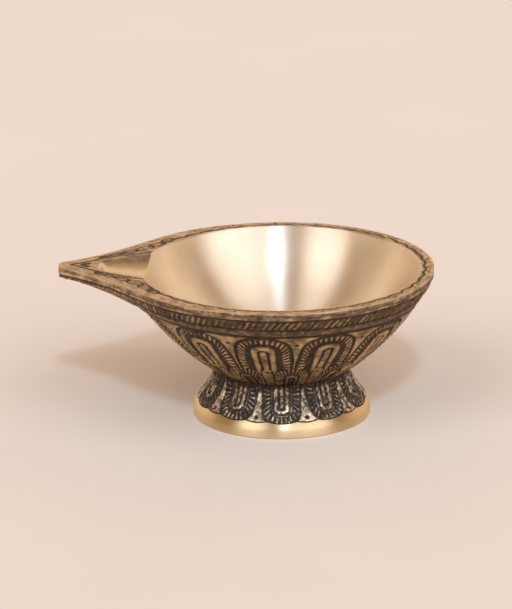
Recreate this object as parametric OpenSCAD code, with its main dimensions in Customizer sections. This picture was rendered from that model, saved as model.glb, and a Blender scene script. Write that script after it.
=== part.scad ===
// Footed brass diya: a bowl casting with a pointed wick spout, screwed to a hollow foot casting.
// Frame: origin at the centre of the foot's bottom face, +Z up, the spout along -X. Millimetres.

/* [Bowl] */
// Outer radius of the round rim
bowl_r = 45; // [40:0.5:52]
// Height of the rim above the table
height = 44.5; // [40:0.5:50]
// Width of the flat rim, from the outer edge to the opening
rim_w = 3.7; // [2.5:0.1:5]
// Height of the plain upright band just under the rim
band_h = 2; // [1:0.1:3]
// Thickness of the bowl's floor at the centre
floor_t = 4.5; // [4:0.1:6]

/* [Spout] */
// Distance from the bowl's axis to the spout's tip
spout_reach = 65.5; // [58:0.5:72]
// Half of the width of the spout's blunt tip
tip_half_w = 2.1; // [1:0.1:4]
// Angle between the spout's axis and its edge at the tip
tip_angle = 30.5; // [24:0.5:40]
// How fast the spout's underside climbs towards the tip, run for each mm of rise
keel_run = 3.6; // [2.6:0.1:4.2]
// Thickness of the spout at its tip
tip_t = 3.2; // [2:0.1:4]
// Distance from the bowl's axis to the blunt end of the wick channel
channel_end = 53.5; // [50:0.5:57]
// Half of the channel's opening angle at the rim, seen from above
channel_spread = 26.5; // [22:0.5:32]
// Slope of the channel's floor towards the bowl
channel_slope = 8; // [6:0.5:10]

/* [Foot] */
// Radius of the foot's base
base_r = 26.2; // [23:0.1:32]
// Radius of the joint between foot and bowl
joint_r = 19.7; // [17:0.1:22]
// Height of the joint above the table
joint_z = 14.5; // [13:0.5:17]
// Height of the plain ring at the base
ring_h = 4.2; // [3:0.1:6]
// Wall thickness of the hollow foot
foot_wall = 2.6; // [2:0.1:4]
// Thickness of the web that closes the foot's top
web_t = 3; // [2.5:0.1:4]

/* [Fixing] */
// Outer diameter of the threaded stud
stud_d = 5; // [4:0.5:6]
// Radius of the boss under the bowl that centres the foot
boss_r = 8; // [6:0.5:10]
// How far the boss reaches into the foot's web
boss_h = 2.5; // [2:0.1:3]
// Outer diameter of the washer
washer_d = 20; // [18:1:24]
// Thickness of the washer
washer_t = 1.2; // [1:0.1:2]
// Width of the nut across its flats
nut_flats = 8; // [7:0.5:10]
// Height of the nut
nut_h = 4; // [3:0.1:5]

/* [Hidden] */
$fn = 96;
clearance = 0.05;              // between the stud and the holes that it passes
boss_clearance = 0.1;          // between the boss and the foot's web
opening_r = bowl_r - rim_w;
floor_z = joint_z + floor_t;
foot_top_z = joint_z - web_t;
stud_engage = 5;               // length of stud inside the boss
stud_proud = 0.8;              // length of stud below the nut
boss_bottom_z = joint_z - boss_h;
washer_bottom_z = foot_top_z - washer_t;
nut_bottom_z = washer_bottom_z - nut_h;
spout_root = 80;               // angle from the spout's axis where its edge meets the round rim
tip_handle = 31.7;             // length of the edge curve's handle at the tip
root_handle = 34;              // length of the edge curve's handle at the rim
keel_round = 9;                // angle over which the keel is rounded, low on the bowl
keel_end_depth = 9.5;          // depth where the keel runs into the bowl's wall
keel_end_bulge = 2.3;          // how far the wall still bulges there
channel_point = spout_reach - 0.5;  // distance from the bowl's axis to the point of the channel's cone
edge_steps = 14;               // facets along each edge of the spout
arc_steps = 20;                // facets along each half of the round rim
wall_steps = 14;               // facets down the wall

function bezier(p, t) =
    pow(1 - t, 3) * p[0] + 3 * t * pow(1 - t, 2) * p[1] + 3 * t * t * (1 - t) * p[2] + pow(t, 3) * p[3];
function curve(p, steps) = [for (i = [0:steps]) bezier(p, i / steps)];

// Outline of the rim, one half, from the tip to the far side, as [angle from the spout, distance].
function edge_handles() =
    let (root = bowl_r * [cos(spout_root), sin(spout_root)])
    [
        [spout_reach, tip_half_w],
        [spout_reach - tip_handle * cos(tip_angle), tip_half_w + tip_handle * sin(tip_angle)],
        root + root_handle * [sin(spout_root), -cos(spout_root)],
        root
    ];
function edge_polar() = [for (p = curve(edge_handles(), edge_steps)) [atan2(p.y, p.x), norm(p)]];
function arc_polar() =
    [for (i = [1:arc_steps]) [spout_root + (180 - spout_root) * i / arc_steps, bowl_r]];
half_rim = concat(edge_polar(), arc_polar());
excess_table = [for (p = half_rim) [p[0], p[1] - bowl_r]];
function excess(angle) = lookup(angle, excess_table);

// The round wall, from under the band to the joint with the foot, as [radius, height].
wall = curve([
    [bowl_r - 0.2, height - band_h],
    [bowl_r - 4.7, height - 9.9],
    [joint_r + 12.4, joint_z + 7.9],
    [joint_r, joint_z]
], wall_steps);

// Reach beyond the round wall, at a depth below the rim: the keel, or the bulge that it runs into.
function keel_excess(depth, r) =
    let (
        keel = spout_reach - max(0, depth - tip_t) * keel_run - r,
        fade = (height - joint_z - depth) / (height - joint_z - keel_end_depth)
    )
    max(keel, keel_end_bulge * min(1, fade));
function rounding(depth) = keel_round * min(1, max(0, depth - tip_t) / (keel_end_depth - tip_t));
function spread_excess(angle, soft) = excess(norm([angle, soft])) / excess(soft);
function wall_ring(p) =
    let (depth = height - p[1], reach = keel_excess(depth, p[0]), soft = rounding(depth))
    [for (q = half_rim) [q[0], p[0] + reach * spread_excess(q[0], soft)]];

function mirrored(ring) = concat(ring, [for (i = [len(ring) - 2:-1:0]) [-ring[i][0], ring[i][1]]]);
function to_points(ring, z) = [for (q = mirrored(ring)) [-q[1] * cos(q[0]), -q[1] * sin(q[0]), z]];

module bowl_outside() {
    rings = concat([to_points(half_rim, height)], [for (p = wall) to_points(wall_ring(p), p[1])]);
    n = len(rings[0]);
    sides = [
        for (k = [0:len(rings) - 2], i = [0:n - 1])
        [k * n + i, k * n + (i + 1) % n, (k + 1) * n + (i + 1) % n, (k + 1) * n + i]
    ];
    top = [for (i = [n - 1:-1:0]) i];
    bottom = [for (i = [0:n - 1]) (len(rings) - 1) * n + i];
    polyhedron([for (r = rings, p = r) p], concat(sides, [top], [bottom]));
}

module bowl_inside() {
    depth = height - floor_z;
    rotate_extrude()
        polygon(concat([[0, height + 1], [opening_r, height + 1]], curve([
            [opening_r, height],
            [opening_r - 3.6, height - 0.48 * depth],
            [opening_r - 15.3, floor_z],
            [0, floor_z]
        ], wall_steps)));
}

// The wick channel: a cone whose lowest side is the channel's floor, cut off square at the blunt end.
module wick_channel() {
    half_angle = atan((1 / cos(channel_spread) - cos(channel_slope)) / sin(channel_slope));
    cone_h = 23;
    intersection() {
        translate([-channel_point, 0, height])
            rotate([0, 90 - half_angle + channel_slope, 0])
                cylinder(h = cone_h, r1 = 0, r2 = cone_h * tan(half_angle));
        translate([-channel_end, -bowl_r, height - 10])
            cube([channel_end, 2 * bowl_r, 20]);
    }
}

module bowl() {
    color([0.62, 0.5, 0.32])
        difference() {
            union() {
                bowl_outside();
                translate([0, 0, boss_bottom_z]) cylinder(h = boss_h + 1, r = boss_r);
            }
            bowl_inside();
            wick_channel();
            translate([0, 0, boss_bottom_z - 1])
                cylinder(h = stud_engage + 1 + clearance, d = stud_d + 2 * clearance);
        }
}

module foot() {
    outside = curve([
        [base_r - 0.8, ring_h],
        [joint_r + 1, ring_h + 5.4],
        [joint_r + 1, joint_z - 3.6],
        [joint_r, joint_z]
    ], wall_steps);
    inside = curve([
        [base_r - foot_wall - 0.6, 0],
        [base_r - foot_wall - 0.6, 4.5],
        [joint_r - foot_wall + 0.4, foot_top_z - 3],
        [joint_r - foot_wall - 0.4, foot_top_z]
    ], wall_steps);
    color([0.45, 0.38, 0.27])
        difference() {
            rotate_extrude()
                polygon(concat([[0, 0], [base_r - 0.3, 0], [base_r, 0.5], [base_r, ring_h - 1.4]],
                    outside, [[0, joint_z]]));
            translate([0, 0, -0.001])
                rotate_extrude() polygon(concat([[0, 0]], inside, [[0, foot_top_z]]));
            translate([0, 0, foot_top_z - 1]) cylinder(h = web_t + 2, r = boss_r + boss_clearance);
        }
}

module stud() {
    color([0.78, 0.66, 0.4])
        translate([0, 0, nut_bottom_z - stud_proud])
            cylinder(h = boss_bottom_z + stud_engage - nut_bottom_z + stud_proud, d = stud_d);
}

module washer() {
    color([0.8, 0.7, 0.45])
        translate([0, 0, washer_bottom_z])
            difference() {
                cylinder(h = washer_t, d = washer_d);
                translate([0, 0, -1]) cylinder(h = washer_t + 2, d = stud_d + 0.4);
            }
}

module nut() {
    color([0.8, 0.7, 0.45])
        translate([0, 0, nut_bottom_z])
            difference() {
                cylinder(h = nut_h, r = nut_flats / sqrt(3), $fn = 6);
                translate([0, 0, -1]) cylinder(h = nut_h + 2, d = stud_d + 2 * clearance);
            }
}

bowl();
foot();
stud();
washer();
nut();
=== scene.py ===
# %% [markdown]
# # A footed brass diya
# A diya is a small oil lamp: oil lies in the bowl, a cotton wick lies in the spout and burns at its
# tip. This one is two brass castings, a bowl and a foot, held together by a stud, a washer and a nut.
# The castings are rich in relief, and the relief is what this lesson is about: each pattern is worked
# out as a height for every point of a fine grid laid over the smooth shape, with numpy and no sculpting.

# %% Load the frame
import math

import bpy
import numpy as np
from mathutils import Matrix, Vector


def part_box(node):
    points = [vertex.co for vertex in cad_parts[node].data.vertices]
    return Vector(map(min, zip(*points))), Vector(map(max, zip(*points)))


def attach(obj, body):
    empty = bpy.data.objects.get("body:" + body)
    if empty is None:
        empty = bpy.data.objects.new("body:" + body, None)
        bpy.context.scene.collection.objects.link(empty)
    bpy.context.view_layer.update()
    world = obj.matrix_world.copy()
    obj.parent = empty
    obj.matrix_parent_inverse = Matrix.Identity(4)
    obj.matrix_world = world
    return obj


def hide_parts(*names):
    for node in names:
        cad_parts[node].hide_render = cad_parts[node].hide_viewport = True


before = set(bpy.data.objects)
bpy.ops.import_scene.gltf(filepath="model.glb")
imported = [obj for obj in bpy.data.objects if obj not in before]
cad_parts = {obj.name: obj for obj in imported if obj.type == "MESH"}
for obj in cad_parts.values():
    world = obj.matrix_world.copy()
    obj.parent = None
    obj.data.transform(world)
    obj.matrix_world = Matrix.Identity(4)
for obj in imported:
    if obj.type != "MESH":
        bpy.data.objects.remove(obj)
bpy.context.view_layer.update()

bowl_low, bowl_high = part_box("bowl")
_, foot_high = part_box("foot")
MM = 0.001
RIM_R = bowl_high.y / MM
HEIGHT = bowl_high.z / MM
SPOUT_REACH = -bowl_low.x / MM
BOSS_Z = bowl_low.z / MM
BASE_R = foot_high.x / MM
JOINT_Z = foot_high.z / MM
print("rim radius", round(RIM_R, 2), "height", round(HEIGHT, 2), "spout", round(SPOUT_REACH, 2))

# %% [markdown]
# ## Small tools
# Shapes are worked out in millimetres, because that is how a brass founder measures them, and turned
# into metres only when a mesh is made. A Bezier curve gives each profile from four handles, and
# `ease` is the soft step that rounds the edge of every groove and ridge.

# %% Curves and steps
def bezier(handles, t):
    """Points on a cubic Bezier: each handle weighted by its Bernstein polynomial in t."""
    t = np.asarray(t)[:, None]
    p = np.asarray(handles, float)
    return (1 - t) ** 3 * p[0] + 3 * t * (1 - t) ** 2 * p[1] + 3 * t**2 * (1 - t) * p[2] + t**3 * p[3]


def ease(start, end, x):
    """Soft step from 0 at start to 1 at end: 3k^2 - 2k^3, where k is how far x has got."""
    k = np.clip((x - start) / (end - start), 0, 1)
    return k * k * (3 - 2 * k)


def mix(a, b, share):
    """a where share is 0, b where share is 1."""
    return a + (b - a) * share


def running_length(points):
    """Distance along a row of points, starting at 0."""
    steps = np.linalg.norm(np.diff(points, axis=0), axis=-1)
    return np.concatenate([np.zeros_like(steps[:1]), np.cumsum(steps, axis=0)])


def patches(seed, share, along, across_count, size):
    """Hand-made unevenness in -1..1: random values on a lattice, joined by soft steps both ways.

    The lattice has `across_count` values round the piece, where it closes up, and one every
    `size` mm along it.
    """
    rng = np.random.default_rng(seed)
    u, v = np.broadcast_arrays(share * across_count, along / size)
    lattice = rng.uniform(-1, 1, (int(v.max()) + 2, across_count))
    left, top = np.floor(u).astype(int), np.floor(v).astype(int)
    right, part_u, part_v = (left + 1) % across_count, ease(0, 1, u - left), ease(0, 1, v - top)
    left = left % across_count
    above = mix(lattice[top, left], lattice[top, right], part_u)
    below = mix(lattice[top + 1, left], lattice[top + 1, right], part_u)
    return mix(above, below, part_v)


# %% [markdown]
# ## The rim seen from above
# The rim is round, with one side drawn out into a pointed spout. Half of it is a Bezier from the
# blunt tip to the circle, then the circle itself, and the other half is its mirror image. A founder
# files the corners of the tip off, which here is a running average over about a millimetre.
# A point of the rim is kept as an angle from the spout and a distance from the bowl's axis.

# %% Outline of the rim
TIP_HALF_WIDTH = 2.1
TIP_ANGLE = math.radians(30.5)
SPOUT_ROOT = math.radians(80)
TIP_HANDLE = 31.7
ROOT_HANDLE = 34
FILED = 1.4


def rim_outline(count):
    """Angle from the spout in degrees and distance, at `count` points evenly spaced round the rim."""
    root = RIM_R * np.array([math.cos(SPOUT_ROOT), math.sin(SPOUT_ROOT)])
    corner = np.array([SPOUT_REACH, TIP_HALF_WIDTH])
    edge = bezier(
        [
            corner,
            corner + TIP_HANDLE * np.array([-math.cos(TIP_ANGLE), math.sin(TIP_ANGLE)]),
            root + ROOT_HANDLE * np.array([math.sin(SPOUT_ROOT), -math.cos(SPOUT_ROOT)]),
            root,
        ],
        np.linspace(0, 1, 300),
    )
    turn = np.linspace(SPOUT_ROOT, math.pi, 400)[1:]
    circle = RIM_R * np.stack([np.cos(turn), np.sin(turn)], 1)
    half = np.concatenate([[[SPOUT_REACH, 0]], edge, circle])
    whole = np.concatenate([half, half[-2::-1] * [1, -1]])
    length = running_length(whole)
    fine = np.linspace(0, length[-1], 6001)[:-1]
    x, y = (np.interp(fine, length, whole[:, k]) for k in (0, 1))
    kernel = np.hanning(int(FILED / (fine[1] - fine[0])) * 2 + 3)
    kernel /= kernel.sum()
    wrap = len(kernel) // 2
    x, y = (np.convolve(np.concatenate([v[-wrap:], v, v[:wrap]]), kernel, "valid") for v in (x, y))
    pick = np.linspace(0, len(fine), count + 1)[:-1]
    x, y = (np.interp(pick, np.arange(len(fine)), v) for v in (x, y))
    return np.degrees(np.arctan2(y, x)), np.hypot(x, y), length[-1]


COLUMNS = 1200
rim_angle, rim_distance, RIM_LENGTH = rim_outline(COLUMNS)
rim_share = np.arange(COLUMNS) / COLUMNS
half_angle = rim_angle[: COLUMNS // 2]
half_distance = rim_distance[: COLUMNS // 2]
print("length of the rim", round(RIM_LENGTH, 1), "mm")


def excess(angle):
    """How far the rim stands beyond its round part, at an angle from the spout in degrees."""
    return np.interp(np.abs(angle), half_angle, half_distance - RIM_R)


# %% [markdown]
# ## The bowl's wall
# The bowl was modelled as a turned shape with the spout's keel growing out of it. Below the rim the
# keel loses reach quickly, then runs into the wall as a faint bulge. To keep the keel round and not
# sharp, the outline is read at the length of (angle, softness) and not at the angle itself.

# %% Smooth outside of the bowl
BAND = 2.0
TIP_THICKNESS = 3.2
KEEL_RUN = 3.6
KEEL_END = 9.5
KEEL_BULGE = 2.3
KEEL_ROUNDING = 9.0
JOINT_R = 19.7
wall_handles = [
    (RIM_R - 0.2, HEIGHT - BAND),
    (RIM_R - 4.7, HEIGHT - 9.9),
    (JOINT_R + 12.4, JOINT_Z + 7.9),
    (JOINT_R, JOINT_Z),
]
wall_profile = np.concatenate([[(RIM_R, HEIGHT)], bezier(wall_handles, np.linspace(0, 1, 500))])
wall_down = running_length(wall_profile)
WALL_LENGTH = wall_down[-1]


def on_axis(angle, radius, z):
    """A point from its angle from the spout (the spout lies along -X), its radius and its height."""
    turn = np.radians(angle)
    x, y, z = np.broadcast_arrays(-radius * np.cos(turn), radius * np.sin(turn), z)
    return np.stack([x, y, z], -1)


def bowl_outside(angle, down):
    """Wall radius at `down` mm below the rim, plus the keel's reach shared out over the angles."""
    radius = np.interp(down, wall_down, wall_profile[:, 0])
    z = np.interp(down, wall_down, wall_profile[:, 1])
    depth = HEIGHT - z
    below_tip = np.maximum(0, depth - TIP_THICKNESS)
    fade = (HEIGHT - JOINT_Z - depth) / (HEIGHT - JOINT_Z - KEEL_END)
    reach = np.maximum(SPOUT_REACH - below_tip * KEEL_RUN - radius, KEEL_BULGE * np.minimum(1, fade))
    softness = KEEL_ROUNDING * np.minimum(1, below_tip / (KEEL_END - TIP_THICKNESS))
    share = excess(np.hypot(angle, softness)) / excess(softness)
    return on_axis(angle, radius + reach * share, z)


print("wall from rim to foot", round(WALL_LENGTH, 1), "mm")

# %% [markdown]
# ## Rows that follow the bands
# The engraved bands keep their width all the way out to the spout's tip, where the wall is much
# longer than on the round part. So each column of the grid is measured first, and a row is placed
# by its true distance below the rim as far as the bands go. Under the bands the rows spread evenly.

# %% Place the rows on the wall
BANDS_END = 10.1


def rows_on_wall(angle, rows):
    """Where each pattern row lies: true distance in the bands, an even spread from there down."""
    fine = np.linspace(0, BANDS_END, 500)[:, None]
    length = running_length(bowl_outside(angle[None, :], fine + 0 * angle[None, :]))
    columns = np.arange(len(angle))

    def at_length(target):
        """Distance down the profile at which each column has run `target` mm."""
        above = np.clip((length < target).sum(0), 1, len(fine) - 1)
        low, high = length[above - 1, columns], length[above, columns]
        part = (target - low) / (high - low)
        return mix(fine[above - 1, 0], fine[above, 0], part)

    bands_down = at_length(BANDS_END)
    placed = [
        at_length(row)
        if row < BANDS_END
        else mix(bands_down, WALL_LENGTH, (row - BANDS_END) / (WALL_LENGTH - BANDS_END))
        for row in rows
    ]
    return np.array(placed)


# %% [markdown]
# ## From a grid to a closed mesh
# Every piece here is a grid whose columns run round the axis and whose rows run over the surface.
# A ring has rows that close up on themselves, so it is a torus; a turned solid has a pole at each end.
# The volume's sign tells whether the faces look outwards, and turns them round if they don't.

# %% Mesh from a grid
def grid_faces(rows, columns, ring):
    """Quads between neighbours; the columns always close up, the rows only on a ring."""
    i = np.arange(rows if ring else rows - 1)[:, None]
    j = np.arange(columns)[None, :]
    below, right = (i + 1) % rows, (j + 1) % columns
    corners = [i * columns + j, i * columns + right, below * columns + right, below * columns + j]
    return np.stack([c + 0 * (i + j) for c in corners], -1).reshape(-1, 4)


def add_surface(name, points, wear=None, polish_and_painted_highlight=None, ring=True, poles=None, normals=None):
    """A closed mesh from points[row, column]; poles are the two end points of a turned solid."""
    rows, columns = points.shape[:2]
    vertices = points.reshape(-1, 3)
    quads = grid_faces(rows, columns, ring)
    fans = np.zeros((0, 3), int)
    if poles is not None:
        vertices = np.concatenate([vertices, poles])
        j = np.arange(columns)
        right = (j + 1) % columns
        last = (rows - 1) * columns
        first_pole = np.full(columns, rows * columns)
        fans = np.concatenate([
            np.stack([first_pole, right, j], 1),
            np.stack([first_pole + 1, last + j, last + right], 1),
        ])
    triangles = np.concatenate([quads[:, :3], quads[:, [0, 2, 3]], fans])
    a, b, c = (vertices[triangles[:, k]] for k in range(3))
    inside_out = np.einsum("ij,ij->i", a, np.cross(b, c)).sum() < 0
    if inside_out:
        quads, fans = quads[:, ::-1], fans[:, ::-1]
    mesh = bpy.data.meshes.new(name)
    mesh.from_pydata(vertices * MM, [], quads.tolist() + fans.tolist())
    mesh.shade_smooth()
    for attribute, values in (("wear", wear), ("polish_and_painted_highlight", polish_and_painted_highlight)):
        layer = mesh.attributes.new(attribute, "FLOAT", "POINT")
        filled = np.zeros(len(vertices), np.float32)
        if values is not None:
            filled[: values.size] = np.clip(values, 0, 1).ravel()
        layer.data.foreach_set("value", filled)
    if normals is not None:
        given = np.zeros((len(vertices), 3), np.float32)
        given[: normals.shape[0] * columns] = normals.reshape(-1, 3)
        mesh.normals_split_custom_set_from_vertices(given.tolist())
    piece = bpy.data.objects.new(name, mesh)
    bpy.context.collection.objects.link(piece)
    print(name, len(quads) * 2 + len(fans), "triangles")
    return piece


def surface_normals(points):
    """Unit normals of a grid that closes round its columns: cross product of its two slopes."""
    around = np.roll(points, -1, 1) - np.roll(points, 1, 1)
    down = np.gradient(points, axis=0)
    normal = np.cross(around, down)
    return normal / np.maximum(np.linalg.norm(normal, axis=-1, keepdims=True), 1e-9)


def profile_rows(angle, profile):
    """The same (radius, z) profile at every angle, as a grid."""
    profile = np.asarray(profile, float)
    return on_axis(angle[None, :], profile[:, :1], profile[:, 1:])


# %% [markdown]
# ## Patterns as heights
# A chaser's pattern is a few shapes repeated round the piece. Each shape here is measured by one
# number, the distance from an arch's middle line, and a short table says how high and how worn the
# brass is at each distance. `wear` is 1 on the high spots, which hands have rubbed bright, and 0 in
# the grooves, where the dark patina stays.

# %% Tools for the pattern
def from_table(distance, table):
    """Height and wear read from rows of (distance, height, wear), joined by straight lines."""
    steps, height, wear = np.array(table, float).T
    return np.interp(distance, steps, height), np.interp(distance, steps, wear)


def arch_distance(x, y, squareness=2.5):
    """Distance from an upright arch's middle: (|x|^p + |y|^p)^(1/p) above its centre, |x| below."""
    above = np.minimum(y, 0)
    return (np.abs(x) ** squareness + np.abs(above) ** squareness) ** (1 / squareness)


def tick_number(x, y, radius, origin, spacing, side):
    """Which tick a point is on: rays from a point `origin` below the centre, evenly spaced on the border."""
    turn = np.linspace(0, math.pi / 2, 60)
    straight = np.linspace(0, side, 60)[1:]
    border_x = np.concatenate([radius * np.sin(turn), np.full(59, radius)])
    border_y = np.concatenate([-radius * np.cos(turn), straight])
    length = running_length(np.stack([border_x, border_y], 1))
    ray = np.arctan2(border_x, origin - border_y)
    return np.interp(np.arctan2(np.abs(x), origin - y), ray, length) / spacing


def ridges(number, sharpness=1.0):
    """1 on each whole number, 0 half way between: a raised cosine."""
    return (0.5 + 0.5 * np.cos(math.tau * number)) ** sharpness


def lay_over(below, above, share):
    """Put one (height, wear) pattern over another where share is 1."""
    return tuple(mix(b, a, share) for b, a in zip(below, above))


# %% [markdown]
# ## The bands under the rim
# From the rim down come a plain band, a rope band of slanted strokes, and a plain bead between two
# dark lines. The strokes are one cosine whose phase grows round the rim and slips as it goes down.

# %% Height of the bands
ROPE_PITCH = 1.9
ROPE_SLIP = 0.28
rope_count = round(RIM_LENGTH / ROPE_PITCH)


def bands(angle, share, down):
    """Plain band, rope band and bead, each switched on by a soft step in the distance below the rim."""
    coarse = patches(3, share, down, 90, 1.7)
    streaks = patches(9, share, down, 80, 0.45)
    fine = patches(4, share, down, 330, 0.8)
    height, wear = from_table(down, [
        (0.0, -0.12, 0.75), (0.3, 0.0, 0.66), (0.7, 0.0, 0.36), (1.5, 0.02, 0.32), (1.9, 0.08, 0.5),
        (2.2, 0.06, 0.5), (2.5, -0.28, 0.0), (2.8, -0.22, 0.16), (6.2, -0.22, 0.16), (6.6, -0.3, 0.0),
        (7.0, 0.02, 0.3), (7.5, 0.14, 0.42), (8.6, 0.12, 0.38), (9.2, -0.02, 0.25), (9.6, -0.28, 0.0),
        (BANDS_END, -0.2, 0.12),
    ])
    number = rope_count * share - ROPE_SLIP * down + 0.1 * coarse
    strengths = np.random.default_rng(8).uniform(0.5, 1, rope_count)
    strength = strengths[np.floor(number + 0.5).astype(int) % rope_count]
    rope = ease(2.5, 3.3, down) * ease(6.5, 5.7, down)
    stroke = rope * strength * ridges(number)
    height = height + 0.48 * stroke + 0.05 * coarse
    wear = wear + 0.62 * stroke**2 + 0.05 * rope
    above_rope = ease(2.5, 2.1, down)
    # Painted light: the bands are made lighter towards the spout, lifting the shade on its down-facing side.
    spout_painted_light = ease(50, 15, np.abs(angle))
    wear = wear + above_rope * (0.14 * coarse + 0.24 * streaks) + 0.18 * fine
    return height, wear + 0.2 * spout_painted_light


# %% [markdown]
# ## The rows of arches
# Twelve upright arches stand round the bowl, each with a tongue, a light inner arch and a border of
# short rays. A second row, shifted by half an arch, grows up between them and is cut off by the foot.
# What is left between the borders is a smooth wedge with one punched dot.

# %% Height of the arches
ARCHES = 12
ARCH_START = -85.0
ARCH_SCALE = 0.61
ARCH_R = 7.5
ARCH_FLARE = 1.16
UPPER_CENTRE = 17.6
LOWER_CENTRE = 33.7
SPRING = 26.4
upper_table = [
    (0.0, 0.22, 0.75), (0.75, 0.2, 0.8), (1.1, -0.24, 0.05), (1.5, -0.24, 0.03), (1.85, 0.26, 0.8),
    (2.6, 0.32, 0.95), (3.3, 0.24, 0.8), (3.65, -0.26, 0.06), (4.75, -0.26, 0.12), (5.0, -0.2, 0.12),
    (6.6, -0.2, 0.12), (6.85, -0.1, 0.2), (7.3, -0.12, 0.15),
]
lower_table = [
    (0.0, -0.1, 0.4), (0.6, -0.12, 0.35), (0.9, -0.28, 0.0), (1.2, -0.28, 0.0), (1.5, 0.24, 0.75),
    (2.3, 0.24, 0.8), (2.6, -0.26, 0.03), (3.2, -0.26, 0.08), (6.9, -0.2, 0.1), (7.3, -0.28, 0.0),
]


def dot(x, y, radius):
    """1 inside a punched dot, with a soft edge."""
    return ease(radius * 1.25, radius * 0.7, np.hypot(x, y))


def arches(angle, share, down):
    """Upper arches, then the lower wedges laid over them, then the lower arches over both."""
    pitch = 360 / ARCHES
    turn = (angle - ARCH_START + pitch / 2) % pitch - pitch / 2
    shake = 0.22 * patches(5, share, down, 60, 5.0)
    coarse = patches(6, share, down, 120, 2.2)
    fine = patches(7, share, down, 330, 0.7)
    x = ARCH_SCALE * turn + shake
    y = down - UPPER_CENTRE
    distance = arch_distance(x, y)
    height, wear = from_table(distance, upper_table)
    outline = arch_distance(x / mix(1.02, ARCH_FLARE, ease(12, 24, down)), y, 2.7)
    border = ease(4.75, 5.1, outline) * ease(6.95, 6.6, outline)
    ray = ridges(tick_number(x, y, 5.7, 7.5, 1.42, 9.0), 1.3)
    height, wear = height + border * 0.42 * ray, wear + border * 0.85 * ray**1.3
    height, wear = lay_over((height, wear), (-0.28, 0.0), ease(ARCH_R - 0.3, ARCH_R - 0.1, outline))
    height, wear = lay_over((height, wear), (0.2, 0.84), ease(ARCH_R + 0.1, ARCH_R + 0.3, outline))
    x_between = ARCH_SCALE * ((angle - ARCH_START) % pitch - pitch / 2) + shake
    punched = dot(x_between, down - 13.3, 0.5)
    height, wear = height - 0.4 * punched, wear * (1 - punched)

    wedge = arch_distance(x, down - SPRING - 2.4, 2.0)
    below_spring = ease(SPRING, SPRING + 0.3, down)
    height, wear = lay_over((height, wear), (-0.26, 0.03), ease(2.5, 2.3, wedge) * below_spring)
    height, wear = lay_over((height, wear), (0.2, 0.85), ease(2.15, 1.85, wedge))
    punched = dot(x, down - SPRING - 2.9, 0.5)
    height, wear = height - 0.4 * punched, wear * (1 - punched)

    y = down - LOWER_CENTRE
    distance = arch_distance(x_between, y, 2.3)
    lower_height, lower_wear = from_table(distance, lower_table)
    border = ease(3.1, 3.4, distance) * ease(7.0, 6.7, distance)
    ray = ridges(tick_number(x_between, y, 5.0, 6.5, 1.3, 7.0), 1.2)
    lower = lower_height + border * 0.42 * ray, lower_wear + border * 0.8 * ray**1.3
    height, wear = lay_over((height, wear), lower, ease(7.5, 7.25, distance))

    height = height + 0.05 * coarse
    return height, wear * (0.85 + 0.3 * coarse) + 0.16 * fine


# %% [markdown]
# ## The bowl's outside as three rings
# The whole outside is worked out once, so its normals run on without a break, and is then cut into
# rings at rows of the grid. Each ring is closed on its hidden side by a coarse copy of the smooth
# wall a millimetre further in, so each one is a solid of its own.

# %% Build the bowl's outside
BAND_SEAM = 2.3
ROW_STEP = 0.2
ARCH_SEAM = 24.9
HIDDEN_DEPTH = 1.1
outside_rows = np.concatenate([
    np.arange(BAND_SEAM, WALL_LENGTH - ROW_STEP / 2, ROW_STEP),
    [WALL_LENGTH],
])


def relief_on(smooth, normal, height):
    """Each point moved along its normal by the pattern's height."""
    return smooth + normal * height[..., None]


def outside_pattern(down):
    """Bands above, arches below, with a short blend where they meet."""
    share, angle = rim_share[None, :], rim_angle[None, :]
    band_part, arch_part = bands(angle, share, down), arches(angle, share, down)
    return lay_over(band_part, arch_part, ease(BANDS_END - 0.2, BANDS_END + 0.2, down))


placed_rows = rows_on_wall(rim_angle, outside_rows)
smooth_wall = bowl_outside(rim_angle[None, :], placed_rows)
smooth_normal = surface_normals(smooth_wall)
pattern_height, pattern_wear_and_painted_light = outside_pattern(outside_rows[:, None] + 0 * rim_share[None, :])
at_joint = ease(WALL_LENGTH, WALL_LENGTH - 0.6, outside_rows)[:, None]
# Painted shade: the wear is darkened over the last 2 mm above the joint, as the shade in the crease where
# the bowl meets the foot.
pattern_wear_and_painted_light = pattern_wear_and_painted_light * mix(0.2, 1, ease(WALL_LENGTH - 0.3, WALL_LENGTH - 2.2, outside_rows)[:, None])
carved_wall = relief_on(smooth_wall, smooth_normal, pattern_height * at_joint)
carved_normal = surface_normals(carved_wall)


def outside_ring(name, start, end):
    """Rows start to end of the carved wall, closed by hidden rows inside the metal."""
    hidden = np.linspace(end, start, 7).astype(int)
    back = smooth_wall[hidden] - HIDDEN_DEPTH * smooth_normal[hidden]
    points = np.concatenate([carved_wall[start : end + 1], back])
    wear = np.concatenate([pattern_wear_and_painted_light[start : end + 1], pattern_wear_and_painted_light[hidden] * 0])
    return add_surface(name, points, wear=wear, normals=carved_normal[start : end + 1])


bands_row = int(np.searchsorted(outside_rows, BANDS_END))
arch_row = int(np.searchsorted(outside_rows, ARCH_SEAM))
rope_band = outside_ring("bowl_rope_band", 0, bands_row)
upper_arches = outside_ring("bowl_upper_arches", bands_row, arch_row)
lower_arches = outside_ring("bowl_lower_arches", arch_row, len(outside_rows) - 1)

# %% [markdown]
# ## The wick channel
# The top of the spout is hollowed into a fan-shaped channel. It was cut as a cone lying on its side:
# the cone's point is near the tip, and its lowest side is the channel's floor, which runs down into
# the bowl. Solving the cone's equation for the depth gives the channel's depth at any place.

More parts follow.
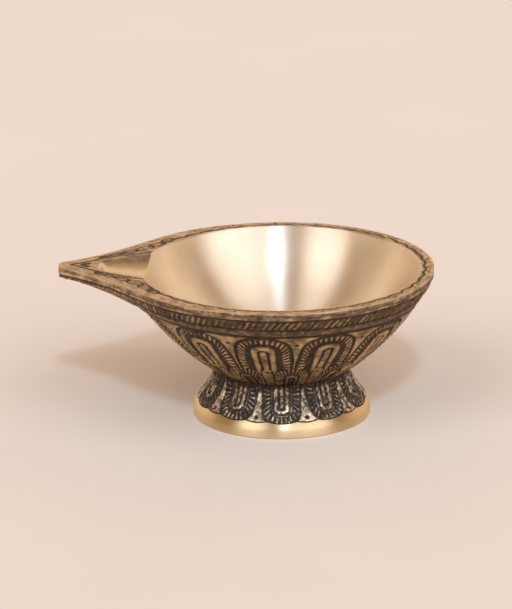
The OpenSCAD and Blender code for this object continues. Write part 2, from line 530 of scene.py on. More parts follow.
# %% Depth of the channel and of the bowl's inside
CHANNEL_POINT = SPOUT_REACH - 0.5
CHANNEL_END = 53.5
CHANNEL_SPREAD = math.radians(26.5)
CHANNEL_SLOPE = math.radians(8)
OPENING_R = RIM_R - 3.7
FLOOR_Z = JOINT_Z + 4.5
inner_depth = HEIGHT - FLOOR_Z
inner_profile = bezier(
    [
        (OPENING_R, HEIGHT),
        (OPENING_R - 3.6, HEIGHT - 0.48 * inner_depth),
        (OPENING_R - 15.3, FLOOR_Z),
        (0, FLOOR_Z),
    ],
    np.linspace(0, 1, 500),
)


def channel_depth(x, y):
    """Depth d of the cone below the rim: the smaller root of the cone's quadratic in d."""
    opening = math.atan(
        (1 / math.cos(CHANNEL_SPREAD) - math.cos(CHANNEL_SLOPE)) / math.sin(CHANNEL_SLOPE)
    )
    lean = opening - CHANNEL_SLOPE
    run = np.maximum(0, x + CHANNEL_POINT)
    a = math.sin(lean) ** 2 - math.cos(opening) ** 2
    b = -2 * run * math.cos(lean) * math.sin(lean)
    c = (run * math.cos(lean)) ** 2 - math.cos(opening) ** 2 * (run**2 + y**2)
    root = np.sqrt(np.maximum(0, b * b - 4 * a * c))
    depth = np.where((c > 0) & (x < -12), 2 * c / np.maximum(1e-9, -b + root), 0)
    rounded_end = ease(-CHANNEL_END - 0.7, -CHANNEL_END + 1.8, x)
    return depth * rounded_end * ease(0, 0.5, depth)


def inner_radius(z):
    """Radius of the bowl's inside at a height."""
    return np.interp(z, inner_profile[::-1, 1], inner_profile[::-1, 0])


def lip(angle):
    """Radius and depth of the edge between rim and inside, found by going round the two a few times."""
    radius = np.full_like(angle, OPENING_R)
    for _ in range(6):
        turn = np.radians(angle)
        depth = channel_depth(-radius * np.cos(turn), radius * np.sin(turn))
        radius = inner_radius(HEIGHT - depth)
    return radius, depth


print("channel is", round(float(lip(np.zeros(1))[1][0]), 2), "mm deep at its mouth")

# %% [markdown]
# ## Engraving on the rim and the spout
# The flat rim has a scalloped line close to its inner edge and punched dots along its middle. On the
# spout a line runs along the edge and meets itself in a V near the tip, and small leaves fill the
# ground between that line and the channel. All of it is cut with the same two tools: a line is a
# narrow dip around a distance of zero, and a leaf is a line round an ellipse.

# %% Height of the rim's top
SCALLOP = 6.6
TIP_LINE = 3.6
BORDER_LINE = 0.55
leaf_places = [
    (53.0, 8.0, 0.8), (49.6, 10.4, 1.25), (45.6, 13.1, 1.6), (41.5, 16.6, 1.9), (38.2, 20.9, 1.7),
    (35.4, 25.1, 1.3), (57.6, 0.9, 0.8),
]


def cut_line(distance, half_width=0.24):
    """1 in the middle of an engraved line, 0 outside it."""
    return ease(half_width * 1.6, half_width * 0.4, np.abs(distance))


def edge_distance(x, y):
    """Shortest distance from each point to the rim's outline, row by row to spare memory."""
    edge = on_axis(rim_angle[::2], rim_distance[::2], 0.0)[:, :2]
    return np.array([
        np.sqrt(((row_x[:, None] - edge[:, 0]) ** 2 + (row_y[:, None] - edge[:, 1]) ** 2).min(1))
        for row_x, row_y in zip(x, y)
    ])


def leaf_cut(out, side):
    """Leaves beside the channel and in the V: a cut line round each ellipse, one along its middle."""
    cut = 0
    for place_out, place_side, size in leaf_places:
        along = ((out - place_out) * 0.75 - (side - place_side) * 0.66) / (1.6 * size)
        across = ((out - place_out) * 0.66 + (side - place_side) * 0.75) / (0.8 * size)
        oval = np.hypot(along, across)
        cut = np.maximum(cut, cut_line((oval - 1) * size, 0.3))
        cut = np.maximum(cut, cut_line(across * size, 0.22) * ease(1, 0.7, oval))
    return cut


def rim_cuts(x, y, share, inner, edge):
    """Every engraved line of the rim's top: 1 in a cut, 0 on the ground between the cuts."""
    out, side = -x, np.abs(y)
    spout = ease(35, 40, out)
    wave = np.abs(np.sin(math.pi * round(RIM_LENGTH / SCALLOP) * share)) * (1 - spout)
    scallop = cut_line(inner - 0.6 - 0.7 * wave, 0.36) * (1 - spout)
    beside_channel = (side - (CHANNEL_POINT - out) * math.tan(CHANNEL_SPREAD)) * math.cos(CHANNEL_SPREAD)
    border = mix(beside_channel - BORDER_LINE, TIP_LINE - edge, ease(51.5, 55.5, out))
    border = cut_line(border, 0.34) * spout
    return np.maximum(np.maximum(scallop, border), leaf_cut(out, side) * ease(0.7, 1.1, edge))


def rim_pattern(points, share, inner, edge):
    """Height, wear and polish of the rim's top from its distances to the inner and outer edges; in the wick
    channel the wear and polish also hold painted shade on the walls and a painted highlight on the floor.
    """
    x, y = points[..., 0], points[..., 1]
    coarse = patches(17, share, 3 + edge, 150, 0.9)
    fine = patches(18, share, edge, 380, 0.6)
    depth = channel_depth(x, y)
    in_channel = ease(0.05, 0.4, depth)
    number = round(RIM_LENGTH / SCALLOP) / 2 * share
    dots = dot((number - np.round(number)) * 2 * SCALLOP, edge - 1.5, 0.45) * ease(-34, -30, x)
    cut = np.maximum(rim_cuts(x, y, share, inner, edge), dots) * (1 - in_channel)
    height = -0.28 * cut - 0.25 * ease(0.45, 0.0, edge) ** 2 - 0.2 * ease(0.3, 0, inner)
    ground = 0.66 + 0.16 * coarse + 0.16 * fine
    bright_edge = ease(0.8, 0.3, edge)
    wear = mix(ground, 0.85 + 0.2 * coarse, bright_edge)
    # Painted light in the wick channel: the walls get a darker wear as painted shade, and the floor gets a
    # lighter wear plus polish as a painted highlight.
    half_width = (CHANNEL_POINT + x) * math.tan(CHANNEL_SPREAD)
    floor = ease(0.75, 0.4, np.abs(y) / np.maximum(half_width, 1))
    wear = mix(wear, mix(0.5, 0.9, floor) + 0.1 * coarse, in_channel)
    wear = wear * (1 - cut)
    return height + 0.05 * coarse * (1 - in_channel), wear, 0.65 * in_channel * floor


# %% [markdown]
# ## The rim, the spout's top and the plain band
# One ring: its rows start at the lip, cross the flat top to the outline, turn down over the plain
# band, and come back inside the metal. On the round part 3.7 mm of rim share the rows that cover
# 24 mm of spout, so every engraved line stays crisp.

# %% Build the rim
RIM_ROWS = 60
lip_radius, lip_depth = lip(rim_angle)
across = np.linspace(0, 1, RIM_ROWS)[:, None]
top_radius = mix(lip_radius[None, :], rim_distance[None, :] - 0.02, across)
top_flat = on_axis(rim_angle[None, :], top_radius, HEIGHT)
edge_gap = edge_distance(top_flat[..., 0], top_flat[..., 1])
inner_gap = top_radius - lip_radius[None, :]
top_height, top_wear_and_painted_light, top_polish_and_painted_highlight = rim_pattern(top_flat, rim_share[None, :], inner_gap, edge_gap)
top_flat[..., 2] += top_height - channel_depth(top_flat[..., 0], top_flat[..., 1])

band_rows = np.linspace(0.25, BAND_SEAM, 12)
band_smooth = bowl_outside(rim_angle[None, :], rows_on_wall(rim_angle, band_rows))
band_height, band_wear_and_painted_light = bands(rim_angle[None, :], rim_share[None, :], band_rows[:, None])
band_points = relief_on(band_smooth, surface_normals(band_smooth), band_height)
underside = on_axis(
    rim_angle[None, :],
    np.stack([rim_distance - 1.2, mix(lip_radius, rim_distance, 0.4), lip_radius + 0.9]),
    np.stack([HEIGHT - 1.7 - 0 * lip_depth, HEIGHT - 2.0 - 0.6 * lip_depth, HEIGHT - 1.6 - lip_depth]),
)
rim = add_surface(
    "bowl_rim_and_spout",
    np.concatenate([top_flat, band_points, underside]),
    wear=np.concatenate([top_wear_and_painted_light, band_wear_and_painted_light, 0 * underside[..., 0]]),
    polish_and_painted_highlight=np.concatenate([top_polish_and_painted_highlight, 0 * band_wear_and_painted_light, 0 * underside[..., 0]]),
)

# %% [markdown]
# ## The turned inside
# The inside was cut on a lathe after casting, which leaves a smooth bright hollow. It is a turned
# solid: from the pole at the middle of the floor up to the lip, over into the wall, down to the joint
# and round the boss that takes the stud. At the spout the lip dips, so its rows start lower there.

# %% Build the inside
INSIDE_COLUMNS = 480
BOSS_R = 8.0
STUD_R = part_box("stud")[1].x / MM
bore_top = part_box("stud")[1].z / MM + 0.05
inside_angle = np.linspace(-180, 180, INSIDE_COLUMNS + 1)[:-1]
inside_lip_radius, inside_lip_depth = lip(inside_angle)
rise = np.linspace(0, 1, 70)[1:, None]
profile_share = np.linspace(0, 1, len(inner_profile))
lip_share = np.interp(inside_lip_depth + 0.05, HEIGHT - inner_profile[:, 1], profile_share)
share_down = mix(1.0, lip_share[None, :], rise)
inside_points = on_axis(
    inside_angle[None, :],
    np.interp(share_down, profile_share, inner_profile[:, 0]),
    np.interp(share_down, profile_share, inner_profile[:, 1]),
)
lip_top = on_axis(inside_angle[None, :], inside_lip_radius[None, :] + 0.8, HEIGHT - inside_lip_depth - 1.0)
IN_METAL = (-1.5, 0.5)
back_down = np.linspace(8.5, WALL_LENGTH - 1, 14)
wall_back = profile_rows(inside_angle, np.stack([
    np.interp(back_down, wall_down, wall_profile[:, k]) + IN_METAL[k] for k in (0, 1)
], 1))
boss_rows = profile_rows(inside_angle, [
    (JOINT_R - 1.0, JOINT_Z + 0.01), (BOSS_R, JOINT_Z + 0.01), (BOSS_R, BOSS_Z + 0.3),
    (BOSS_R - 0.3, BOSS_Z), (STUD_R + 0.3, BOSS_Z), (STUD_R + 0.05, BOSS_Z + 0.3),
    (STUD_R + 0.05, bore_top),
])
bowl_inside = add_surface(
    "bowl_turned_inside",
    np.concatenate([inside_points, lip_top, wall_back, boss_rows]),
    ring=False,
    poles=[(0, 0, FLOOR_Z), (0, 0, bore_top)],
)

# %% [markdown]
# ## The foot
# The foot's relief hangs down: ten U-shaped petals with rayed borders, and between them narrow
# wedges that end in a lobe with a punched dot. Their lower edge is scalloped and stands a little
# proud of a plain ring, which was turned and polished so that the lamp stands flat and shines.

# %% Height of the foot's relief
RING_TOP = 4.2
foot_curve = bezier(
    [
        (JOINT_R, JOINT_Z),
        (JOINT_R + 1, JOINT_Z - 3.6),
        (JOINT_R + 1, RING_TOP + 5.4),
        (BASE_R - 0.8, RING_TOP),
    ],
    np.linspace(0, 1, 300),
)
foot_profile = np.concatenate([foot_curve, [(BASE_R - 0.1, RING_TOP - 1.6)]])
foot_down = running_length(foot_profile)
RELIEF_LENGTH = foot_down[-1]
PETALS = 10
PETAL_START = -93.3
PETAL_SCALE = 0.405
PETAL_CENTRE = 6.4
PETAL_WIDE_AT_TOP = 1.17
PETAL_WIDE_AT_END = 1.04
RING_STEP = -0.3
petal_table = [
    (0.0, 0.14, 0.75), (0.4, 0.12, 0.7), (0.65, -0.2, 0.08), (0.95, -0.2, 0.1), (1.2, 0.18, 0.6),
    (1.7, 0.22, 0.75), (2.15, 0.18, 0.62), (2.45, -0.22, 0.03), (2.75, 0.0, 0.4), (3.0, 0.0, 0.4),
    (3.3, -0.22, 0.05), (5.3, -0.2, 0.08), (5.5, -0.04, 0.2), (5.75, -0.26, 0.0), (6.0, 0.18, 0.85),
]


def scalloped_edge(turn):
    """Where the relief ends: a wide scallop under each petal and a smaller one under each wedge."""
    side = np.abs(turn)
    half_pitch = 180 / PETALS
    under_petal = 11.1 + 0.65 * (1 - (side / 10.5) ** 2)
    under_wedge = 11.1 + 0.45 * (1 - ((half_pitch - side) / 7.5) ** 2)
    return np.maximum(under_petal, under_wedge)


def petals(angle, share, down):
    """U petals measured from their middle, wedges between them, all ending in the scalloped edge."""
    pitch = 360 / PETALS
    turn = (angle - PETAL_START + pitch / 2) % pitch - pitch / 2
    coarse = patches(21, share, down, 75, 1.8)
    fine = patches(22, share, down, 260, 0.55)
    widening = mix(PETAL_WIDE_AT_TOP, PETAL_WIDE_AT_END, ease(0, 7, down))
    x = (PETAL_SCALE * turn + 0.16 * patches(23, share, down, 40, 4.0)) / widening
    distance = arch_distance(x, PETAL_CENTRE - down, 2.3)
    height, wear = from_table(distance, petal_table)
    border = ease(3.3, 3.6, distance) * ease(5.35, 5.05, distance)
    ray = ridges(tick_number(x, PETAL_CENTRE - down, 4.35, 3.4, 1.3, 6.4), 1.3)
    height, wear = height + border * 0.36 * ray, wear + border * 0.75 * ray**1.3
    between = PETAL_SCALE * ((angle - PETAL_START) % pitch - pitch / 2)
    punched = dot(between, down - 9.9, 0.55)
    height, wear = height - 0.35 * punched + 0.06 * coarse, wear * (1 - punched)
    # Painted shade: the wear is darkened over the top 2 mm of the foot, where it lies in the shade under the
    # bowl.
    wear = wear * (0.8 + 0.35 * coarse) * mix(0.3, 1, ease(0.3, 2.4, down)) + 0.3 * fine
    edge = scalloped_edge(turn)
    outline = ease(edge - 0.4, edge - 0.15, down)
    height, wear = lay_over((height, wear), (0.0, 0.05), outline)
    return mix(height, RING_STEP - 0.4, ease(edge - 0.1, edge + 0.12, down)), wear


# %% Build the foot
FOOT_COLUMNS = 840
FOOT_WALL = 2.6
WEB = 3.0
foot_angle = np.linspace(-180, 180, FOOT_COLUMNS + 1)[:-1]
foot_share = (np.arange(FOOT_COLUMNS) / FOOT_COLUMNS)[None, :]
foot_rows = np.linspace(0, RELIEF_LENGTH, 76)[:, None]
foot_smooth = on_axis(
    foot_angle[None, :],
    np.interp(foot_rows, foot_down, foot_profile[:, 0]),
    np.interp(foot_rows, foot_down, foot_profile[:, 1]),
)
foot_height, foot_wear_and_painted_shade = petals(foot_angle[None, :], foot_share, foot_rows)
foot_fade = ease(0, 0.4, foot_rows)
foot_normal = surface_normals(foot_smooth)
foot_relief = relief_on(foot_smooth, foot_normal, foot_height * foot_fade)
web_z = JOINT_Z - WEB
hollow_curve = bezier(
    [
        (BASE_R - FOOT_WALL - 0.6, 0.1),
        (BASE_R - FOOT_WALL - 0.6, 4.5),
        (JOINT_R - FOOT_WALL + 0.4, web_z - 3),
        (JOINT_R - FOOT_WALL - 0.4, web_z),
    ],
    np.linspace(0, 1, 12),
)
hollow = profile_rows(foot_angle, np.concatenate([
    [(BASE_R - FOOT_WALL + 0.5, 1.4), (BASE_R - FOOT_WALL - 0.1, 0.15)], hollow_curve,
    [(BOSS_R + 0.1, web_z), (BOSS_R + 0.1, JOINT_Z - 0.02), (JOINT_R - 0.5, JOINT_Z - 0.02)],
]))
foot = add_surface(
    "foot_casting",
    np.concatenate([foot_relief, hollow]),
    wear=np.concatenate([foot_wear_and_painted_shade, 0.45 + 0 * hollow[..., 0]]),
)

# %% [markdown]
# ## The polished ring
# The ring under the relief was turned after casting, so it is a piece of its own here, with a
# finish of its own. Its top rows run up behind the relief, and the scalloped edge that shows is
# simply where the relief's surface dives under the ring's.

# %% Build the ring
RING_COLUMNS = 240


def foot_point(down, inward):
    """A point of the foot's smooth profile, moved towards the axis."""
    radius, z = (float(np.interp(down, foot_down, foot_profile[:, k])) for k in (0, 1))
    return radius - inward, z


ring_angle = np.linspace(-180, 180, RING_COLUMNS + 1)[:-1]
ring = add_surface("foot_polished_ring", profile_rows(ring_angle, [
    foot_point(10.2, 0.6), foot_point(10.7, 0.35), foot_point(11.2, 0.3), foot_point(11.7, 0.28),
    foot_point(12.2, 0.22), (BASE_R - 0.22, RING_TOP - 1.2), (BASE_R - 0.08, RING_TOP - 1.8),
    (BASE_R - 0.01, RING_TOP - 2.4), (BASE_R, 1.2), (BASE_R - 0.01, 0.5), (BASE_R - 0.08, 0.2),
    (BASE_R - 0.24, 0.05), (BASE_R - 0.5, 0.0), (BASE_R - 1.4, 0.0), (BASE_R - FOOT_WALL + 0.3, 0.0),
    (BASE_R - FOOT_WALL, 0.1), (BASE_R - FOOT_WALL, 0.5), (BASE_R - FOOT_WALL + 0.6, 2.6),
    (BASE_R - 2.4, 4.6),
]))

# %% [markdown]
# ## Stud, washer and nut
# Turn the lamp over and the fixing shows: a stud screwed up into the bowl's boss, a wide washer
# across the hole in the foot, and a hex nut. The thread is one formula: the radius falls and rises
# as a triangle wave of the height less the turn, which is exactly what makes it a helix. The nut is
# a ring whose radius is that of a hexagon, cut back by a cone at both ends.

# %% Build the fixing
THREAD_PITCH = 0.8
THREAD_DEPTH = 0.45
stud_low, stud_high = (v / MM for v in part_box("stud"))
washer_low, washer_high = (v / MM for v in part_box("washer"))
nut_low, nut_high = (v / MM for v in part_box("nut"))
small_angle = np.linspace(-180, 180, 97)[:-1]


def threaded_stud():
    """Radius = outer radius less thread depth times a triangle wave of (z / pitch - turns)."""
    z = np.linspace(stud_low.z, stud_high.z, 150)[:, None]
    phase = (z / THREAD_PITCH - small_angle[None, :] / 360) % 1
    valley = 1 - np.abs(2 * phase - 1)
    chamfer = np.maximum(0, 0.5 - np.minimum(z - stud_low.z, stud_high.z - z))
    radius = STUD_R - THREAD_DEPTH * valley - chamfer
    poles = [(0, 0, stud_low.z), (0, 0, stud_high.z)]
    points = on_axis(small_angle[None, :], radius, z + 0 * radius)
    return add_surface("fixing_stud", points, ring=False, poles=poles)


def pressed_washer():
    """A flat ring with small rounded edges, as a punch leaves them."""
    low, high, outer, hole = washer_low.z, washer_high.z, washer_high.x, STUD_R + 0.2
    return add_surface("fixing_washer", profile_rows(small_angle, [
        (hole, low + 0.15), (hole + 0.15, low), (outer - 0.3, low), (outer - 0.06, low + 0.1),
        (outer, low + 0.35), (outer, high - 0.25), (outer - 0.25, high), (hole + 0.1, high),
        (hole, high - 0.1),
    ]))


def hex_nut():
    """Side radius = half the flats / cos(angle from the flat's middle), cut back by the end cones."""
    flats = (nut_high.y - nut_low.y) / 2
    from_flat = small_angle % 60 - 30
    hexagon = flats / np.cos(np.radians(from_flat))
    low, high, bore = nut_low.z, nut_high.z, STUD_R + 0.04
    rounded = np.minimum(hexagon, flats * 1.12)
    rows = [
        (bore, low + 0.5), (bore + 0.45, low), (flats * 0.96, low), (flats, low + 0.12),
        (None, low + 0.75), (None, high - 0.75), (flats, high - 0.12), (flats * 0.96, high),
        (bore + 0.45, high), (bore, high - 0.5),
    ]
    points = [
        on_axis(small_angle, rounded if radius is None else radius + 0 * small_angle, z)
        for radius, z in rows
    ]
    return add_surface("fixing_nut", np.array(points))


stud = threaded_stud()
washer = pressed_washer()
nut = hex_nut()

# %% [markdown]
# ## Antiqued brass
# The castings were dipped to darken them and then rubbed back, so the colour is set by the relief:
# the `wear` attribute goes from dark, dull patina in the grooves to warm brass on the high spots.
# Noise breaks the edge between them, since no one rubs evenly, and a fine bump gives the skin of a
# sand casting. `wear` also holds painted shade at the top of the foot, just above the joint on the
# bowl and on the walls of the wick channel, and painted light on the bands near the spout. The
# polish value gives a brighter, smoother skin on the floor of the wick channel, a painted highlight.

# %% Helpers for materials
def new_material(name):
    """A node material with its Principled shader, ready to be filled in."""
    material = bpy.data.materials.new(name)
    material.use_nodes = True
    return material, material.node_tree, material.node_tree.nodes["Principled BSDF"]


def add_node(tree, kind, **settings):
    """A node of a kind, with properties set by name and inputs set by socket name."""
    node = tree.nodes.new(kind)
    inputs = settings.pop("inputs", {})
    for key, value in settings.items():
        setattr(node, key, value)
    for key, value in inputs.items():
        node.inputs[key].default_value = value
    return node


def ramp(tree, source, stops):
    """Colours at places along 0..1, read by a value."""
    node = add_node(tree, "ShaderNodeValToRGB")
    elements = node.color_ramp.elements
    while len(elements) < len(stops):
        elements.new(0.5)
    for element, (place, colour) in zip(elements, stops):
        element.position = place
        element.color = (*colour, 1)
    tree.links.new(source, node.inputs["Fac"])
    return node.outputs["Color"]


def noise(tree, vector, scale, detail=4.0, roughness=0.55):
    """Noise on the object's own coordinates; scale is per metre."""
    settings = {"Scale": scale, "Detail": detail, "Roughness": roughness}
    node = add_node(tree, "ShaderNodeTexNoise", inputs=settings)
    tree.links.new(vector, node.inputs["Vector"])
    return node.outputs["Fac"]


def math_node(tree, operation, first, second):
    """One arithmetic step between two values or sockets."""
    node = add_node(tree, "ShaderNodeMath", operation=operation)
    for socket, value in zip(node.inputs, (first, second)):
        if isinstance(value, (int, float)):
            socket.default_value = value
        else:
            tree.links.new(value, socket)
    return node.outputs["Value"]


def spread(tree, source, low, high, at_low, at_high, interpolation="LINEAR"):
    """A value spread from one range onto another."""
    node = add_node(tree, "ShaderNodeMapRange", interpolation_type=interpolation, inputs={
        "From Min": low, "From Max": high, "To Min": at_low, "To Max": at_high,
    })
    tree.links.new(source, node.inputs["Value"])
    return node.outputs["Result"]


def mix_colours(tree, factor, first, second):
    """A colour socket where factor is 0, a fixed colour where it is 1 (the node's inputs 6 and 7)."""
    node = add_node(tree, "ShaderNodeMix", data_type="RGBA")
    tree.links.new(factor, node.inputs["Factor"])
    tree.links.new(first, node.inputs[6])
    node.inputs[7].default_value = (*second, 1)
    return node.outputs[2]


def attribute(tree, name):
    """A value stored on the mesh's points."""
    return add_node(tree, "ShaderNodeAttribute", attribute_name=name).outputs["Fac"]


def bump(tree, height, strength, distance):
    """Bump from a height socket."""
    node = add_node(tree, "ShaderNodeBump", inputs={"Strength": strength, "Distance": distance})
    tree.links.new(height, node.inputs["Height"])
    return node.outputs["Normal"]


# %% Antiqued brass
def antique_brass(name, dark, middle, light, bright, speckle=0.55, cloud=0.4):
    """Patina to brass along wear, which in places also holds painted shade and light; polish turns the skin
    to bright metal, which is a painted highlight on the wick channel's floor.
    """
    material, tree, shader = new_material(name)
    place = add_node(tree, "ShaderNodeTexCoord").outputs["Object"]
    grain = noise(tree, place, 2300, detail=3)
    blotch = noise(tree, place, 160, detail=5, roughness=0.6)
    grain_part = math_node(tree, "MULTIPLY", math_node(tree, "SUBTRACT", grain, 0.5), speckle)
    blotch_part = math_node(tree, "MULTIPLY", math_node(tree, "SUBTRACT", blotch, 0.5), cloud)
    uneven = math_node(tree, "ADD", grain_part, blotch_part)
    rubbed = math_node(tree, "ADD", attribute(tree, "wear"), uneven)
    colour = ramp(tree, rubbed, [(0.05, dark), (0.42, middle), (0.88, light)])
    polish_and_painted_highlight = attribute(tree, "polish_and_painted_highlight")
    tree.links.new(mix_colours(tree, polish_and_painted_highlight, colour, bright), shader.inputs["Base Color"])
    bare = spread(tree, rubbed, 0.0, 0.7, 0.35, 1.0)
    tree.links.new(math_node(tree, "MAXIMUM", bare, polish_and_painted_highlight), shader.inputs["Metallic"])
    dull = spread(tree, rubbed, 0.0, 1.0, 0.62, 0.38)
    gloss = math_node(tree, "MULTIPLY", polish_and_painted_highlight, 0.2)
    tree.links.new(math_node(tree, "SUBTRACT", dull, gloss), shader.inputs["Roughness"])
    skin = math_node(tree, "MULTIPLY", grain, math_node(tree, "SUBTRACT", 1.0, polish_and_painted_highlight))
    tree.links.new(bump(tree, skin, 0.6, 0.0002), shader.inputs["Normal"])
    return material


bowl_brass = antique_brass(
    "antique_brass_bowl",
    dark=(0.022, 0.012, 0.006), middle=(0.13, 0.076, 0.038), light=(0.56, 0.38, 0.20),
    bright=(0.80, 0.68, 0.50),
)
rim_brass = antique_brass(
    "antique_brass_rim",
    dark=(0.05, 0.031, 0.017), middle=(0.23, 0.148, 0.082), light=(0.72, 0.55, 0.37),
    bright=(0.84, 0.72, 0.56), speckle=0.45,
)
foot_brass = antique_brass(
    "antique_brass_foot",
    dark=(0.02, 0.013, 0.010), middle=(0.11, 0.075, 0.05), light=(0.60, 0.48, 0.34),
    bright=(0.80, 0.68, 0.50), speckle=0.8,
)

# %% [markdown]
# ## Turned brass
# A lathe tool leaves circles round the axis that are far too fine to see one by one, but they
# stretch every highlight across them. That is anisotropy, with its tangent running round the axis.
# A faint noise that changes only with radius and height adds the few circles the eye does catch.

# %% Turned brass
def turned_brass(name, colour, tarnish, roughness, anisotropy):
    """Bright metal with circular tool marks and a trace of tarnish."""
    material, tree, shader = new_material(name)
    place = add_node(tree, "ShaderNodeTexCoord").outputs["Object"]
    parts = add_node(tree, "ShaderNodeSeparateXYZ")
    tree.links.new(place, parts.inputs["Vector"])
    x, y, z = (parts.outputs[axis] for axis in "XYZ")
    x_squared = math_node(tree, "MULTIPLY", x, x)
    y_squared = math_node(tree, "MULTIPLY", y, y)
    radius = math_node(tree, "SQRT", math_node(tree, "ADD", x_squared, y_squared), 0.0)
    rings = add_node(tree, "ShaderNodeCombineXYZ")
    tree.links.new(radius, rings.inputs["X"])
    tree.links.new(z, rings.inputs["Z"])
    marks = noise(tree, rings.outputs["Vector"], 3800, detail=2)
    cloud = noise(tree, place, 70, detail=4)
    stain = ramp(tree, cloud, [(0.35, colour), (0.75, tarnish)])
    tree.links.new(stain, shader.inputs["Base Color"])
    shader.inputs["Metallic"].default_value = 1.0
    rough = spread(tree, marks, 0.3, 0.7, roughness - 0.03, roughness + 0.05)
    tree.links.new(rough, shader.inputs["Roughness"])
    shader.inputs["Anisotropic"].default_value = anisotropy
    shader.inputs["Anisotropic Rotation"].default_value = 0.25
    tangent = add_node(tree, "ShaderNodeTangent", direction_type="RADIAL", axis="Z")
    tree.links.new(tangent.outputs["Tangent"], shader.inputs["Tangent"])
    tree.links.new(bump(tree, marks, 0.25, 0.00001), shader.inputs["Normal"])
    return material


inside_brass = turned_brass("turned_brass_inside", (0.88, 0.78, 0.65), (0.80, 0.66, 0.50), 0.42, 0.95)
ring_brass = turned_brass("turned_brass_ring", (0.80, 0.62, 0.38), (0.70, 0.51, 0.28), 0.42, 0.92)
fixing_brass = turned_brass("machined_brass", (0.86, 0.66, 0.36), (0.62, 0.45, 0.24), 0.3, 0.4)

# %% [markdown]
# ## Who stands for what
# Each visual piece takes its material, rides on the lamp's one body and hides the plain CAD solid
# that it stands for.

# %% Tell the frame
finishes = [
    (rim, "bowl", "antique_brass", rim_brass),
    (rope_band, "bowl", "antique_brass", bowl_brass),
    (upper_arches, "bowl", "antique_brass", bowl_brass),
    (lower_arches, "bowl", "antique_brass", bowl_brass),
    (bowl_inside, "bowl", "antique_brass", inside_brass),
    (foot, "foot", "antique_brass_foot", foot_brass),
    (ring, "foot", "turned_brass", ring_brass),
    (stud, "stud", "turned_brass", fixing_brass),
    (washer, "washer", "turned_brass", fixing_brass),
    (nut, "nut", "turned_brass", fixing_brass),
]
for piece, node, slot, material in finishes:
    piece.data.materials.append(material)
    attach(piece, "root")
    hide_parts(node)

# %% [markdown]
# ## The table and the light
# The lamp stands on a plain pale table that fills the view. One small hard light high in front gives
# the clear shadow behind the lamp, and two large soft ones, left and right, make the two broad glows
# inside the bowl. The rest is a dim warm room. All are sun lamps, so the table is lit evenly.

# %% Table, room and lights
def pale_table():
    """A large square at z = 0 with a plain, very slightly mottled pale finish."""
    half = 6.0
    corners = [(-half, -half, 0), (half, -half, 0), (half, half, 0), (-half, half, 0)]
    mesh = bpy.data.meshes.new("table_top")
    mesh.from_pydata(corners, [], [(0, 1, 2, 3)])
    table = bpy.data.objects.new("table_top", mesh)
    bpy.context.collection.objects.link(table)
    material, tree, shader = new_material("table_paint")
    place = add_node(tree, "ShaderNodeTexCoord").outputs["Object"]
    mottle = noise(tree, place, 9, detail=2)
    paint = ramp(tree, mottle, [(0.3, (0.72, 0.645, 0.58)), (0.7, (0.74, 0.665, 0.60))])
    tree.links.new(paint, shader.inputs["Base Color"])
    shader.inputs["Roughness"].default_value = 0.9
    shader.inputs["Specular IOR Level"].default_value = 0.1
    mesh.materials.append(material)


def sun(name, azimuth, elevation, strength, colour, width):
    """A sun `width` degrees across, seen at an azimuth (0 in front, 90 right) and an elevation."""
    data = bpy.data.lights.new(name, "SUN")
    data.energy = strength
    data.color = colour
    data.angle = math.radians(width)
    lamp = bpy.data.objects.new(name, data)
    a, e = math.radians(azimuth), math.radians(elevation)
    towards = Vector((math.sin(a) * math.cos(e), -math.cos(a) * math.cos(e), math.sin(e)))
    lamp.rotation_mode = "QUATERNION"
    lamp.rotation_quaternion = towards.to_track_quat("Z", "Y")
    bpy.context.collection.objects.link(lamp)


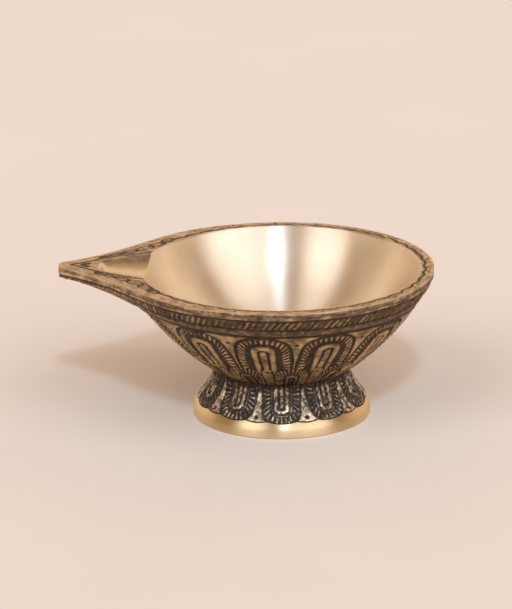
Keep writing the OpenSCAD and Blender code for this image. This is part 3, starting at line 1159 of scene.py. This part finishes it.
pale_table()
sun("key_light", 7, 43, 1.0, (0.56, 0.76, 1.0), 5.5)
sun("soft_light_right", 46, 38, 1.7, (0.82, 0.91, 0.98), 56)
sun("soft_light_left", -41, 38, 1.15, (0.87, 0.94, 1.0), 37)
room = bpy.data.worlds.new("room")
room.use_nodes = True
tree = room.node_tree
direction = add_node(tree, "ShaderNodeSeparateXYZ")
tree.links.new(add_node(tree, "ShaderNodeTexCoord").outputs["Generated"], direction.inputs["Vector"])
behind = spread(tree, direction.outputs["Y"], -0.1, 0.5, 0, 1, "SMOOTHSTEP")
low = spread(tree, direction.outputs["Z"], 0.55, 0.8, 1, 0, "SMOOTHSTEP")
glow = math_node(tree, "MULTIPLY", behind, low)
walls = ramp(tree, direction.outputs["Z"], [(0.35, (0.39, 0.235, 0.125)), (0.8, (0.50, 0.30, 0.155))])
room_colour = mix_colours(tree, glow, walls, (1.05, 0.80, 0.60))
tree.links.new(room_colour, tree.nodes["Background"].inputs["Color"])
bpy.context.scene.world = room
bpy.context.scene.view_settings.view_transform = "Standard"

# %% [markdown]
# ## The camera
# A long lens from 1.4 m away, a little to the right and 17.6 degrees above the table. The view is
# 179 mm high where the rim's middle is. The camera aims a little below that point and to its left,
# and is rolled by half a degree.

# %% Camera
CAMERA_AZIMUTH = math.radians(3.5)
CAMERA_ELEVATION = math.radians(17.6)
CAMERA_DISTANCE = 1.4
CAMERA_ROLL = math.radians(-0.525)
SENSOR = 36
VIEW_HEIGHT = 178.8 * MM
AIM_LEFT = 7.4 * MM
AIM_DOWN = 11.0 * MM
back = Vector((
    math.sin(CAMERA_AZIMUTH) * math.cos(CAMERA_ELEVATION),
    -math.cos(CAMERA_AZIMUTH) * math.cos(CAMERA_ELEVATION),
    math.sin(CAMERA_ELEVATION),
))
right = Vector((math.cos(CAMERA_AZIMUTH), math.sin(CAMERA_AZIMUTH), 0))
up = back.cross(right)
rim_centre = Vector((0, 0, HEIGHT * MM))
camera_place = rim_centre + back * CAMERA_DISTANCE
aim = rim_centre - right * AIM_LEFT - up * AIM_DOWN
camera_data = bpy.data.cameras.new("camera")
camera_data.sensor_width = SENSOR
camera_data.lens = SENSOR * CAMERA_DISTANCE / VIEW_HEIGHT
camera_data.clip_end = 50
camera = bpy.data.objects.new("camera", camera_data)
look = (camera_place - aim).to_track_quat("Z", "Y").to_matrix()
turned = look @ Matrix.Rotation(CAMERA_ROLL, 3, "Z")
camera.matrix_world = Matrix.Translation(camera_place) @ turned.to_4x4()
bpy.context.collection.objects.link(camera)
bpy.context.scene.camera = camera
print("lens", round(camera_data.lens, 1), "mm")
